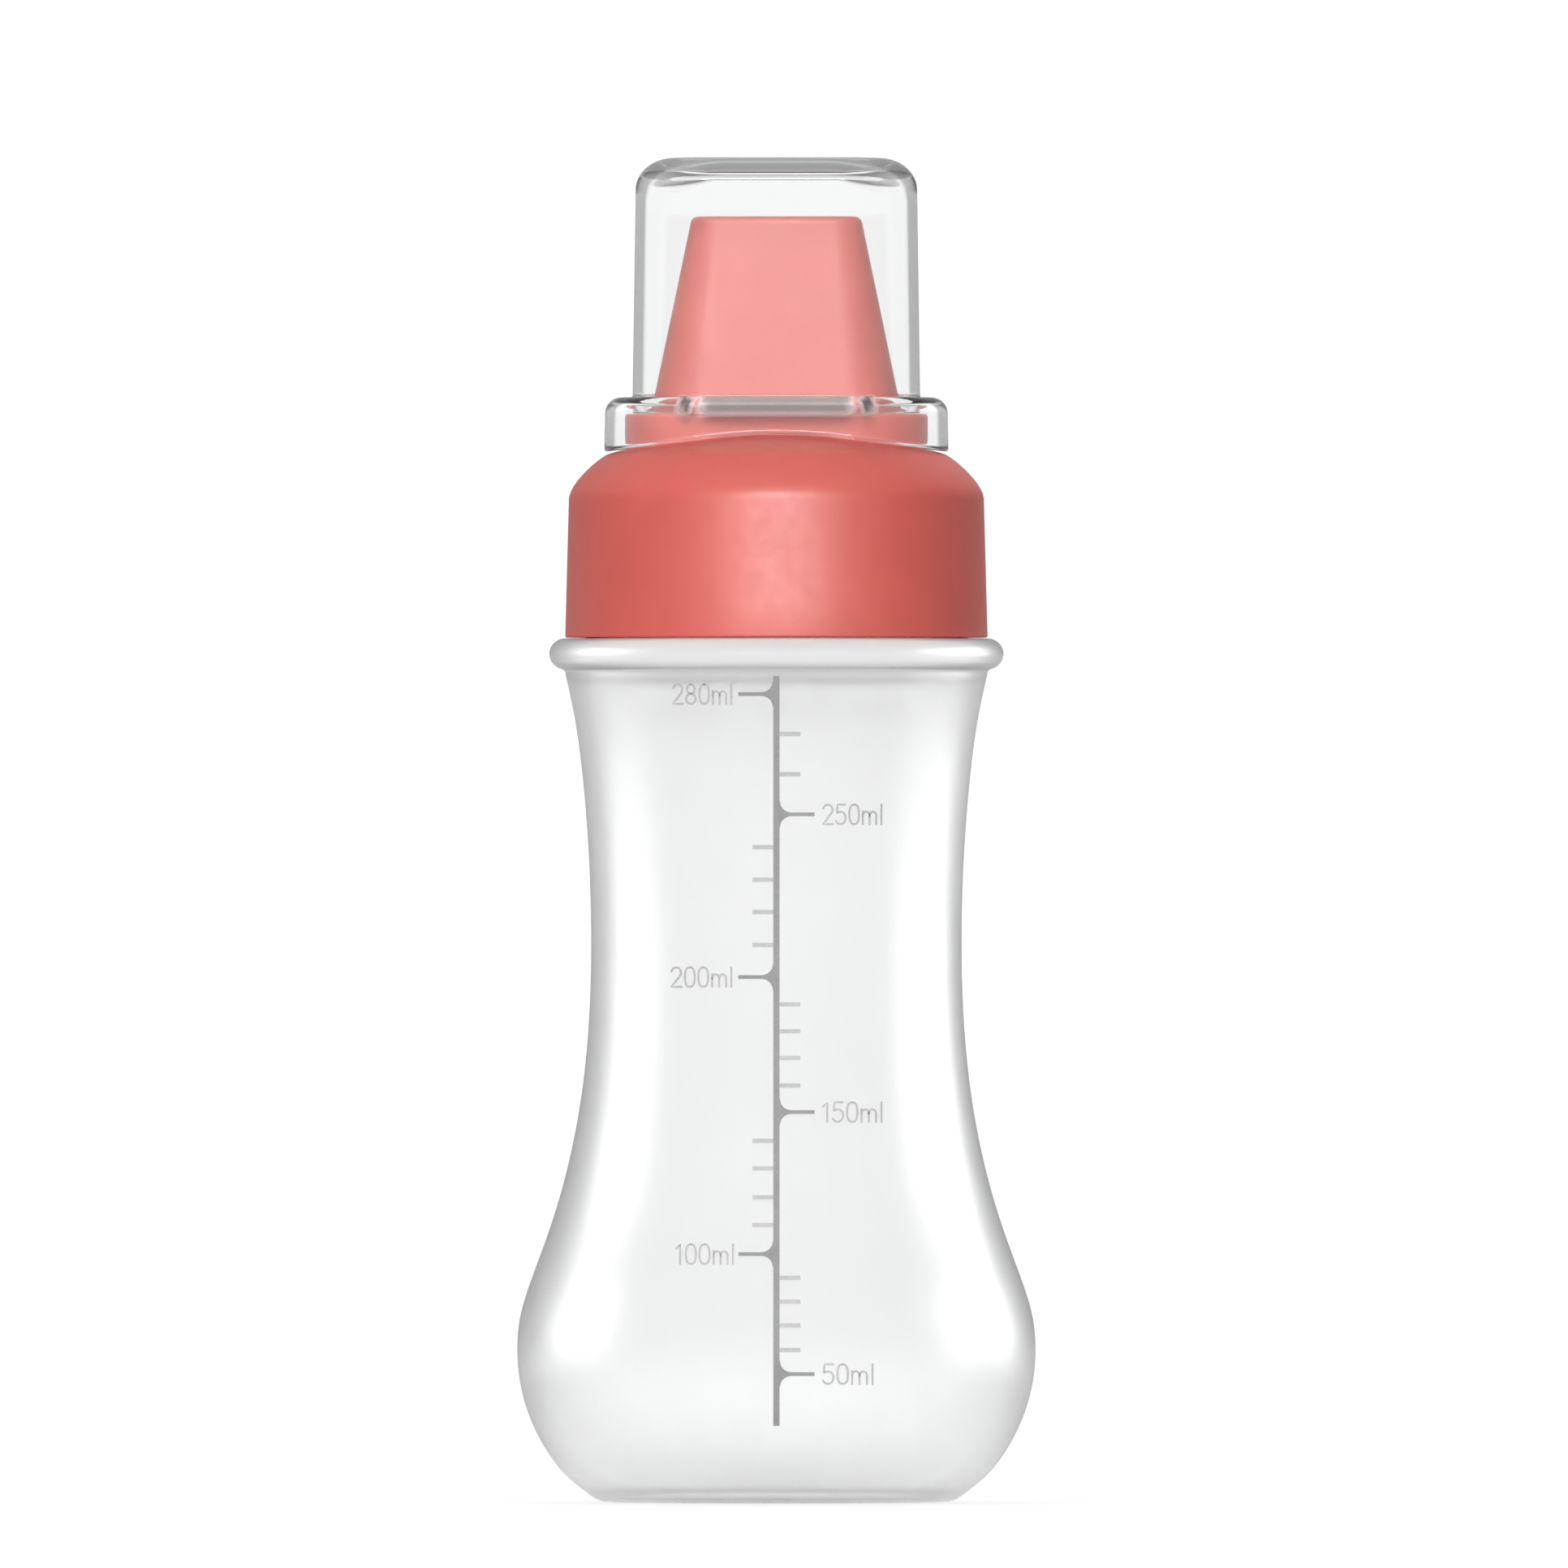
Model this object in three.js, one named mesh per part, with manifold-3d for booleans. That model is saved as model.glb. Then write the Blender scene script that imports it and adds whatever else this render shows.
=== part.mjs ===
// Squeeze sauce bottle: soft waisted bottle, screw cap, wedge nozzle with five
// outlets, neck gasket and clear dust hood. Five separate mouldings.
// Millimetres, +Z up, origin at the centre of the base, wide side of the nozzle along X.

import * as THREE from "three";
import { mergeVertices } from "three/addons/utils/BufferGeometryUtils.js";
import Module from "manifold-3d";

const wasm = await Module();
wasm.setup();

// ---- driving dimensions -------------------------------------------------

const SEG = 48;                 // facets round a revolved piece
const ARC = 9;                  // divisions of each obround end

// bottle
const WALL = 1.0;               // side wall
const BODY = [                  // outer wall: height, radius
  [0.6, 25.37], [3, 28.44], [6, 31.06], [9.5, 33.14], [14, 34.87], [18, 35.65],
  [21.5, 35.8], [25, 35.49], [29, 34.43], [34, 32.62], [40, 30.55], [47, 28.65],
  [55, 27.1], [65, 26.0], [77.5, 25.61], [90, 25.98], [99, 26.68], [106, 27.53],
  [111, 28.45], [115, 29.36],
];
const FOOT_R = 23.9;            // outer edge of the flat foot ring
const FOOT_IN = 20.6;           // inner edge of the foot ring
const PUSH_UP = 2.8;            // rise of the base, outside
const FLOOR = 1.3;              // base thickness
const BEAD_Z = 116.95;          // neck bead
const BEAD_R = 31.35;
const BEAD_H = 2.15;            // half height
const NECK_R = 26.0;            // thread root
const NECK_IN = 24.4;
const LIP_Z = 137.85;

// neck thread
const LEAD = 5.0;
const CREST_OUT = 27.35;        // bottle thread crest
const CREST_IN = 26.35;         // cap thread crest
const ROOT_IN = 27.7;           // cap thread root
const FLANK_ROOT = 1.2;         // half width at the root
const FLANK_TIP = 0.6;          // half width at the crest
const THREAD_Z = 124.5;         // start of the bottle thread
const THREAD_TURN = 450;        // degrees
const CAP_DROP = 1.95;          // cap thread below the bottle thread
const CAP_TURN_FROM = -60;

// cap
const CAP_Z = 119.2;            // lower edge
const CAP_R0 = 29.15;           // skirt radius, bottom
const CAP_R1 = 28.65;           // skirt radius, top
const CAP_TOP = 138.2;          // top of the straight skirt
const DOME_Z = 148.08;          // dome height on the axis, before the opening
const DOME_K = 0.0066;          // dome fall per square millimetre
const DOME_R = 23.2;            // dome meets the shoulder
const DOME_T = 1.9;             // dome thickness
const LAND_Z = 140.6;           // clamping land
const LAND_IN = 22.8;
const LAND_OUT = 26.6;
const FIT = 0.15;               // nozzle collar in the cap opening

// gasket
const SEAL_Z0 = 137.9;
const SEAL_Z1 = 139.15;
const SEAL_IN = 22.6;
const SEAL_OUT = 26.2;

// nozzle
const FLANGE_Z0 = 139.2;
const FLANGE_Z1 = 140.55;
const FLANGE_R = 26.3;
const COLLAR = [20.9, 11.5];    // half width, half depth
const LEDGE_Z = 150.0;
const TIP_Z = 177.3;
const TIP = [11.65, 4.1];
const TAPER = [0.2083, 0.14];   // growth per millimetre down from the tip
const NOZZLE_T = 1.4;
const OUTLETS = 5;
const OUTLET_R = 1.1;
const OUTLET_PITCH = 4.2;

// hood
const HOOD_TOP = 185.4;
const HOOD_T = 1.45;            // side wall
const HOOD_ROOF = 2.1;
const HOOD_TIP = [19.37, 10.05];  // outside, at the top
const HOOD_FOOT = [19.85, 10.45]; // outside, on the flange
const HOOD_ROUND = [[5.2, 4.3], [2.2, 2.2]]; // top edge: run and rise at the ends, then on the flats
const HOOD_ROUND_IN = [[2.8, 2.8], [1.1, 1.1]];
const RIM_Z = 152.35;           // top of the flange
const RIM_ROUND = [[2.2, 2.2], [1.4, 1.4]];
const SKIRT = [23.75, 14.35];   // outside
const SKIRT_Z = 143.6;          // below the dome, then trimmed to it
const SHELF_Z = 151.1;          // underside of the flange
const HOOD_SEAT = 150.06;       // foot of the wall, on the nozzle ledge
const DOME_GAP = 0.4;           // skirt edge above the dome

// ---- helpers ------------------------------------------------------------

// Closed solid from a geometry, faces turned outwards.
function solid(geometry) {
  const bare = geometry.index ? geometry.toNonIndexed() : geometry;
  bare.deleteAttribute("normal");
  bare.deleteAttribute("uv");
  const g = mergeVertices(bare, 1e-4);
  const index = g.index.array;
  const tris = [];
  for (let i = 0; i < index.length; i += 3) {
    const [a, b, c] = [index[i], index[i + 1], index[i + 2]];
    if (a !== b && b !== c && c !== a) tris.push(a, b, c);
  }
  const p = g.attributes.position.array;
  let volume = 0;
  for (let i = 0; i < tris.length; i += 3) {
    const [a, b, c] = [tris[i] * 3, tris[i + 1] * 3, tris[i + 2] * 3];
    volume += p[a] * (p[b + 1] * p[c + 2] - p[b + 2] * p[c + 1])
      - p[a + 1] * (p[b] * p[c + 2] - p[b + 2] * p[c])
      + p[a + 2] * (p[b] * p[c + 1] - p[b + 1] * p[c]);
  }
  if (volume < 0) {
    for (let i = 0; i < tris.length; i += 3) [tris[i + 1], tris[i + 2]] = [tris[i + 2], tris[i + 1]];
  }
  return new wasm.Manifold(new wasm.Mesh({
    numProp: 3,
    vertProperties: new Float32Array(p),
    triVerts: new Uint32Array(tris),
  }));
}

// Revolved solid about Z from [radius, height] points.
function lathe(points) {
  const profile = points.map(([r, z]) => new THREE.Vector2(r, z));
  return solid(new THREE.LatheGeometry(profile, SEG).rotateX(Math.PI / 2));
}

// Solid through a row of closed rings with equal point counts.
function skin(rings) {
  const n = rings[0].length;
  const pos = [];
  const tri = (a, b, c) => pos.push(...a, ...b, ...c);
  const middle = (ring) => [0, 1, 2].map((k) => ring.reduce((s, p) => s + p[k], 0) / n);
  for (let i = 0; i + 1 < rings.length; i++) {
    for (let j = 0; j < n; j++) {
      const k = (j + 1) % n;
      tri(rings[i][j], rings[i][k], rings[i + 1][k]);
      tri(rings[i][j], rings[i + 1][k], rings[i + 1][j]);
    }
  }
  const first = rings[0];
  const last = rings[rings.length - 1];
  for (let j = 0; j < n; j++) {
    const k = (j + 1) % n;
    tri(middle(first), first[k], first[j]);
    tri(middle(last), last[j], last[k]);
  }
  const g = new THREE.BufferGeometry();
  g.setAttribute("position", new THREE.Float32BufferAttribute(pos, 3));
  return solid(g);
}

// Obround outline, half width a along X, half depth b along Y.
function obround(a, b) {
  const path = new THREE.Path();
  path.absarc(a - b, 0, b, -Math.PI / 2, Math.PI / 2, false);
  path.absarc(b - a, 0, b, Math.PI / 2, Math.PI * 1.5, false);
  path.closePath();
  const points = path.getPoints(ARC);
  points.pop();
  return points;
}

// Obround loft from [half width, half depth, height] stations.
const loft = (stations) =>
  skin(stations.map(([a, b, z]) => obround(a, b).map((p) => [p.x, p.y, z])));

// Quarter round between a side and a top: inset and rise for each step.
function round(radius, steps) {
  const out = [];
  for (let i = 0; i <= steps; i++) {
    const t = (i / steps) * Math.PI / 2;
    out.push([radius * (1 - Math.cos(t)), radius * Math.sin(t)]);
  }
  return out;
}

// Natural cubic spline through [x, y] knots.
function spline(knots) {
  const n = knots.length;
  const x = knots.map((k) => k[0]);
  const y = knots.map((k) => k[1]);
  const m = new Array(n).fill(0);
  const c = new Array(n).fill(0);
  const d = new Array(n).fill(0);
  for (let i = 1; i < n - 1; i++) {
    const h0 = x[i] - x[i - 1];
    const h1 = x[i + 1] - x[i];
    const q = 2 * (h0 + h1) - h0 * c[i - 1];
    c[i] = h1 / q;
    d[i] = (6 * ((y[i + 1] - y[i]) / h1 - (y[i] - y[i - 1]) / h0) - h0 * d[i - 1]) / q;
  }
  for (let i = n - 2; i > 0; i--) m[i] = d[i] - c[i] * m[i + 1];
  return (v) => {
    let i = 0;
    while (i < n - 2 && v > x[i + 1]) i++;
    const h = x[i + 1] - x[i];
    const a = (x[i + 1] - v) / h;
    const b = (v - x[i]) / h;
    return a * y[i] + b * y[i + 1]
      + ((a ** 3 - a) * m[i] + (b ** 3 - b) * m[i + 1]) * h * h / 6;
  };
}

// Helical ridge from the root to the crest, faded at both ends.
function thread(root, crest, z0, from, turn) {
  const bite = root < crest ? -0.4 : 0.4;
  const step = 360 / SEG;
  const count = Math.round(turn / step);
  const rings = [];
  for (let i = 0; i <= count; i++) {
    const deg = from + i * step;
    const fade = Math.min(1, 0.08 + i / 4, 0.08 + (count - i) / 4);
    const top = root + (crest - root) * fade;
    const tip = FLANK_ROOT + (FLANK_TIP - FLANK_ROOT) * fade;
    const z = z0 + (LEAD * deg) / 360;
    const t = THREE.MathUtils.degToRad(deg);
    const at = (r, h) => [r * Math.cos(t), r * Math.sin(t), h];
    rings.push([
      at(root + bite, z - FLANK_ROOT), at(top, z - tip),
      at(top, z + tip), at(root + bite, z + FLANK_ROOT),
    ]);
  }
  return skin(rings);
}

function piece(name, body, look) {
  const data = body.getMesh();
  const g = new THREE.BufferGeometry();
  g.setAttribute("position", new THREE.Float32BufferAttribute(data.vertProperties, 3));
  g.setIndex(new THREE.Uint32BufferAttribute(data.triVerts, 1));
  g.computeVertexNormals();
  const mesh = new THREE.Mesh(g, new THREE.MeshStandardMaterial(look));
  mesh.name = name;
  return mesh;
}

// ---- bottle -------------------------------------------------------------

const bodyR = spline(BODY);
const levels = [1.5, 3.5, 6, 9, 12.5, 17, 21.5, 25, 29, 34, 41, 49, 58, 68, 78, 89, 99, 107];
const levelsIn = [1.6, 3, 5, 8, 12, 17, 21.5, 26, 34, 45, 58, 72, 86, 98, 106];

// Point a wall thickness inside the body, square to its slope.
function inside(z) {
  const slope = (bodyR(z + 0.05) - bodyR(z - 0.05)) / 0.1;
  const k = Math.hypot(1, slope);
  return [bodyR(z) - WALL / k, z + (WALL * slope) / k];
}

const base = [[0, PUSH_UP], [8, PUSH_UP * 0.84], [14, PUSH_UP * 0.49], [18.5, PUSH_UP * 0.16], [FOOT_IN, 0]];
const bead = [];
for (let i = 0; i <= 6; i++) {
  const t = -Math.PI / 2 + (Math.PI * i) / 6;
  bead.push([29.1 + (BEAD_R - 29.1) * Math.cos(t), BEAD_Z + BEAD_H * Math.sin(t)]);
}
const outer = [
  ...base, [FOOT_R, 0], [25.05, 0.35],
  ...levels.map((z) => [bodyR(z), z]), [bodyR(113.2), 113.2],
  ...bead, [NECK_R, BEAD_Z + BEAD_H],
  [NECK_R, LIP_Z - 0.4], [NECK_R - 0.4, LIP_Z],
];
const inner = [
  [NECK_IN + 0.4, LIP_Z], [NECK_IN, LIP_Z - 0.4], [NECK_IN, 121.6], [24.5, 120.3], [24.95, 119.1],
  [25.9, 118], [27, 117], [27.75, 116], [28.1, 115], [28, 113], ...levelsIn.slice().reverse().map(inside),
  [24.6, 1.72], [22, FLOOR], [18, FLOOR + PUSH_UP * 0.19],
  [14, FLOOR + PUSH_UP * 0.49], [8, FLOOR + PUSH_UP * 0.84], [0, FLOOR + PUSH_UP],
];
const bottle = lathe([...outer, ...inner])
  .add(thread(NECK_R, CREST_OUT, THREAD_Z, 0, THREAD_TURN));

// ---- cap ----------------------------------------------------------------

const domeZ = (r) => DOME_Z - DOME_K * r * r;
const slope = -2 * DOME_K * DOME_R;
const shoulder = new THREE.CubicBezierCurve(
  new THREE.Vector2(DOME_R, domeZ(DOME_R)),
  new THREE.Vector2(DOME_R + 1, domeZ(DOME_R) + slope),
  new THREE.Vector2(CAP_R1, CAP_TOP + 2.4),
  new THREE.Vector2(CAP_R1, CAP_TOP),
).getPoints(7).map((p) => [p.x, p.y]);

const domeOut = [0, 6, 12, 17, 21].map((r) => [r, domeZ(r)]);
const domeIn = [21.6, 18, 12, 6, 0].map((r) => [r, domeZ(r) - DOME_T]);
const shell = lathe([
  ...domeOut, ...shoulder,
  [CAP_R0, CAP_Z + 0.4], [CAP_R0 - 0.4, CAP_Z], [ROOT_IN + 0.3, CAP_Z], [ROOT_IN, CAP_Z + 0.5],
  [ROOT_IN, 137.4], [LAND_OUT, LAND_Z], [LAND_IN, LAND_Z], [22.2, 142.8], ...domeIn,
]);
const opening = loft([138, 152].map((z) => [COLLAR[0] + FIT, COLLAR[1] + FIT, z]));
const cap = shell.subtract(opening)
  .add(thread(ROOT_IN, CREST_IN, THREAD_Z - CAP_DROP, CAP_TURN_FROM, THREAD_TURN));

// ---- gasket -------------------------------------------------------------

const gasket = lathe([
  [SEAL_IN, SEAL_Z0], [SEAL_OUT, SEAL_Z0], [SEAL_OUT, SEAL_Z1], [SEAL_IN, SEAL_Z1], [SEAL_IN, SEAL_Z0],
]);

// ---- nozzle -------------------------------------------------------------

const wedge = (z, inset = 0) => [
  TIP[0] + (TIP_Z - z) * TAPER[0] - inset,
  TIP[1] + (TIP_Z - z) * TAPER[1] - inset,
  z,
];
const TIP_ROUND = 1.1;
const tipStart = wedge(TIP_Z - TIP_ROUND);
const horn = loft([
  [...COLLAR, FLANGE_Z0 + 0.6], [...COLLAR, LEDGE_Z - 0.5],
  ...round(0.5, 2).slice(1).map(([i, h]) => [COLLAR[0] - i, COLLAR[1] - i, LEDGE_Z - 0.5 + h]),
  wedge(LEDGE_Z), wedge(164), tipStart,
  ...round(TIP_ROUND, 3).slice(1).map(([i, h]) => [tipStart[0] - i, tipStart[1] - i, tipStart[2] + h]),
]);
const chamber = loft([
  [COLLAR[0] - NOZZLE_T, COLLAR[1] - NOZZLE_T, FLANGE_Z0 - 1],
  [COLLAR[0] - NOZZLE_T, COLLAR[1] - NOZZLE_T, LEDGE_Z - 2.2],
  wedge(LEDGE_Z + 0.6, NOZZLE_T), wedge(TIP_Z - 2.6, NOZZLE_T - 0.1), wedge(TIP_Z - 1.9, NOZZLE_T + 0.5),
]);
const flange = lathe([
  [0, FLANGE_Z0], [FLANGE_R, FLANGE_Z0], [FLANGE_R, FLANGE_Z1], [0, FLANGE_Z1],
]);
let nozzle = horn.add(flange).subtract(chamber);
for (let i = 0; i < OUTLETS; i++) {
  const drill = new THREE.CylinderGeometry(OUTLET_R, OUTLET_R, 5, 16).rotateX(Math.PI / 2);
  drill.translate((i - (OUTLETS - 1) / 2) * OUTLET_PITCH, 0, TIP_Z - 0.5);
  nozzle = nozzle.subtract(solid(drill));
}

// ---- hood ---------------------------------------------------------------

const tall = (z) => (z - RIM_Z) / (HOOD_TOP - RIM_Z);
const wall = (z, inset = 0) => [
  THREE.MathUtils.lerp(HOOD_FOOT[0], HOOD_TIP[0], tall(z)) - inset,
  THREE.MathUtils.lerp(HOOD_FOOT[1], HOOD_TIP[1], tall(z)) - inset,
  z,
];
// Rounded top edge of an obround body, one round at the ends and another on the flats.
function crown(top, rounds, size, steps) {
  const heights = rounds.flatMap(([, rise]) =>
    round(rise, steps).map(([, h]) => Number((top - rise + h).toFixed(4))));
  const fall = ([run, rise], z) =>
    run * (1 - Math.sqrt(Math.max(0, 1 - Math.max(0, (z - top) / rise + 1) ** 2)));
  return [...new Set(heights)].sort((m, n) => m - n).map((z) => {
    const [a, b] = size(z);
    return [a - fall(rounds[0], z), b - fall(rounds[1], z), z];
  });
}
const hoodOuter = loft([
  [...SKIRT, SKIRT_Z], ...crown(RIM_Z, RIM_ROUND, () => SKIRT.map((v) => v - 0.1), 4),
  wall(RIM_Z), ...crown(HOOD_TOP, HOOD_ROUND, (z) => wall(z), 5),
]);
const bore = loft([
  [...wall(RIM_Z, HOOD_T).slice(0, 2), SKIRT_Z - 1], wall(RIM_Z, HOOD_T),
  ...crown(HOOD_TOP - HOOD_ROOF, HOOD_ROUND_IN, (z) => wall(z, HOOD_T), 4),
]);
const foot = loft([HOOD_SEAT, SHELF_Z + 0.5].map((z) => [...HOOD_FOOT, z]));
const pocket = loft([
  [SKIRT[0] - HOOD_T, SKIRT[1] - HOOD_T, SKIRT_Z - 1],
  [SKIRT[0] - HOOD_T - 0.05, SKIRT[1] - HOOD_T - 0.05, SHELF_Z],
]).subtract(foot);
const trim = lathe([
  [0, 138], [30, 138], ...[30, 26, 24, 22, 20, 18, 16, 14, 11, 7].map((r) => [r, domeZ(r) + DOME_GAP]),
  [0, DOME_Z + DOME_GAP],
]);
const hood = hoodOuter.subtract(bore).subtract(pocket).subtract(trim);

// ---- assembly -----------------------------------------------------------

const group = new THREE.Group();
group.name = "squeeze_sauce_bottle";
group.add(
  piece("bottle_body", bottle, { color: 0xe6e8e8, roughness: 0.45, metalness: 0, transparent: true, opacity: 0.55 }),
  piece("screw_cap", cap, { color: 0xe8877b, roughness: 0.5, metalness: 0 }),
  piece("nozzle", nozzle, { color: 0xea8d82, roughness: 0.5, metalness: 0 }),
  piece("neck_gasket", gasket, { color: 0xf1efea, roughness: 0.7, metalness: 0 }),
  piece("dust_hood", hood, { color: 0xf2f5f5, roughness: 0.08, metalness: 0, transparent: true, opacity: 0.3 }),
);

export default group;
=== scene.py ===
import math

import bmesh
import bpy
import numpy as np
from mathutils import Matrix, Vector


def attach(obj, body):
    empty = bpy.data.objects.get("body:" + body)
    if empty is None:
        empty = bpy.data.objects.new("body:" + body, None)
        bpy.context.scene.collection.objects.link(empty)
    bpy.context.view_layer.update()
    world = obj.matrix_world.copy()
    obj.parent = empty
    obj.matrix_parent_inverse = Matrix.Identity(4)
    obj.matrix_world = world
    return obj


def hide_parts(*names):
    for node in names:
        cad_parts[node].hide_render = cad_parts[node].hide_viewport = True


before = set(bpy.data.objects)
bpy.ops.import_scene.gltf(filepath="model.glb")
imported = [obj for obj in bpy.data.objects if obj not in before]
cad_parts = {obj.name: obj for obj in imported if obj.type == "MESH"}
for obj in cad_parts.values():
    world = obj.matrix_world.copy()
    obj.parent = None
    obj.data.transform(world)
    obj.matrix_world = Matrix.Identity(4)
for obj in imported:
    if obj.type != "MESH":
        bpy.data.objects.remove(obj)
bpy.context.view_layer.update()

MM = 0.001

# ---------------------------------------------------------------- dimensions
# Millimetres, the same numbers as the construction.

WALL = 1.0
BODY = [
    (0.6, 25.37), (3, 28.44), (6, 31.06), (9.5, 33.14), (14, 34.87), (18, 35.65),
    (21.5, 35.8), (25, 35.49), (29, 34.43), (34, 32.62), (40, 30.55), (47, 28.65),
    (55, 27.1), (65, 26.0), (77.5, 25.61), (90, 25.98), (99, 26.68), (106, 27.53),
    (111, 28.45), (115, 29.36),
]
FOOT_R, FOOT_IN, PUSH_UP, FLOOR = 23.9, 20.6, 2.8, 1.3
BEAD_Z, BEAD_R, BEAD_H = 116.95, 31.35, 2.15
NECK_R, NECK_IN, LIP_Z = 26.0, 24.4, 137.85

LEAD = 5.0
CREST_OUT, CREST_IN, ROOT_IN = 27.35, 26.35, 27.7
FLANK_ROOT, FLANK_TIP = 1.2, 0.6
THREAD_Z, THREAD_TURN, CAP_DROP, CAP_TURN_FROM = 124.5, 450.0, 1.95, -60.0

CAP_Z, CAP_R0, CAP_R1, CAP_TOP = 119.2, 29.15, 28.65, 138.2
DOME_Z, DOME_K, DOME_R, DOME_T = 148.08, 0.0066, 23.2, 1.9
LAND_Z, LAND_IN, LAND_OUT, FIT = 140.6, 22.8, 26.6, 0.15

SEAL_Z0, SEAL_Z1, SEAL_IN, SEAL_OUT = 137.9, 139.15, 22.6, 26.2

FLANGE_Z0, FLANGE_Z1, FLANGE_R = 139.2, 140.55, 26.3
COLLAR = (20.9, 11.5)
LEDGE_Z, TIP_Z = 150.0, 177.3
TIP, TAPER, NOZZLE_T = (11.65, 4.1), (0.2083, 0.14), 1.4
OUTLETS, OUTLET_R, OUTLET_PITCH = 5, 1.1, 4.2

HOOD_TOP, HOOD_T, HOOD_ROOF = 185.4, 1.45, 2.1
HOOD_TIP, HOOD_FOOT = (19.37, 10.05), (19.85, 10.45)
HOOD_ROUND, HOOD_ROUND_IN = ((5.2, 4.3), (2.2, 2.2)), ((2.8, 2.8), (1.1, 1.1))   # run and rise at the ends, then on the flats
RIM_Z, RIM_ROUND, SKIRT = 152.35, ((2.2, 2.2), (1.4, 1.4)), (23.75, 14.35)
SHELF_Z, HOOD_SEAT, DOME_GAP = 151.1, 150.06, 0.4

LENS, EYE_FAR, EYE_X, EYE_Z = 1200.0, 7213.0, 1.05, 99.0     # long lens, level with the middle

ARC, FLAT = 44, 52              # points on each obround end and each straight side
COUNT = 2 * (ARC + FLAT)

# ---------------------------------------------------------------- shape helpers


def spline(knots):
    """Natural cubic spline through (x, y) knots."""
    x = np.array([k[0] for k in knots], float)
    y = np.array([k[1] for k in knots], float)
    n = len(x)
    h = np.diff(x)
    a = np.eye(n)
    b = np.zeros(n)
    for i in range(1, n - 1):
        a[i, i - 1], a[i, i], a[i, i + 1] = h[i - 1], 2 * (h[i - 1] + h[i]), h[i]
        b[i] = 6 * ((y[i + 1] - y[i]) / h[i] - (y[i] - y[i - 1]) / h[i - 1])
    m = np.linalg.solve(a, b)

    def at(v):
        v = np.asarray(v, float)
        i = np.clip(np.searchsorted(x, v) - 1, 0, n - 2)
        p = (x[i + 1] - v) / h[i]
        q = (v - x[i]) / h[i]
        return p * y[i] + q * y[i + 1] + ((p**3 - p) * m[i] + (q**3 - q) * m[i + 1]) * h[i] ** 2 / 6

    return at


SKIN = 0.04                     # the fine wall lies this far inside, so the ink on it stays in the box
wall_spline = spline(BODY)


def body_r(z):
    return wall_spline(z) - SKIN


def dome_z(r):
    return DOME_Z - DOME_K * np.asarray(r, float) ** 2


def obround(a, b, z=0.0):
    """Closed obround ring, half width a along X, half depth b along Y."""
    t = np.linspace(-np.pi / 2, np.pi / 2, ARC, endpoint=False)
    s = np.linspace(1, -1, FLAT, endpoint=False)
    c = a - b
    x = np.concatenate([c + b * np.cos(t), c * s, -c - b * np.cos(t), -c * s])
    y = np.concatenate([b * np.sin(t), np.full(FLAT, b), -b * np.sin(t), np.full(FLAT, -b)])
    return np.stack([x, y, np.full(COUNT, float(z))], 1)


TURN = math.atan2(COLLAR[1], COLLAR[0] - COLLAR[1])
ANGLES = np.concatenate([
    np.linspace(-TURN, TURN, ARC, endpoint=False),
    np.linspace(TURN, np.pi - TURN, FLAT, endpoint=False),
    np.linspace(np.pi - TURN, np.pi + TURN, ARC, endpoint=False),
    np.linspace(np.pi + TURN, 2 * np.pi - TURN, FLAT, endpoint=False),
])


def circle(r, z):
    """Ring of radius r at height z, matched point for point to the obround rings."""
    r = np.broadcast_to(np.asarray(r, float), (COUNT,))
    return np.stack([r * np.cos(ANGLES), r * np.sin(ANGLES), np.full(COUNT, float(z))], 1)


def radius(ring):
    return np.hypot(ring[:, 0], ring[:, 1])


def lift(ring, z):
    out = ring.copy()
    out[:, 2] = z
    return out


def between(first, last, steps, ends=(True, True)):
    t = np.linspace(0, 1, steps + 1)
    t = t[0 if ends[0] else 1: None if ends[1] else -1]
    return [first + (last - first) * k for k in t]


def arc(centre, r, start, stop, steps):
    """Points (x, z) on an arc in degrees."""
    t = np.radians(np.linspace(start, stop, steps + 1))
    return [(centre[0] + r * math.cos(k), centre[1] + r * math.sin(k)) for k in t]


def ridge(angles, z, start, turn, z0, depth):
    """Height of a helical ridge at height z for each angle, faded at both ends."""
    out = np.zeros_like(angles)
    deg0 = np.degrees(angles)
    for k in range(-3, 4):
        deg = deg0 + 360 * k
        on = (deg >= start) & (deg <= start + turn)
        fade = np.clip(np.minimum(deg - start, start + turn - deg) / 30, 0, 1)
        flank = np.clip((FLANK_ROOT - abs(z - (z0 + LEAD * deg / 360))) / (FLANK_ROOT - FLANK_TIP), 0, 1)
        flank = flank * flank * (3 - 2 * flank)
        out = np.maximum(out, np.where(on, depth * fade * flank, 0))
    return out


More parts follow.
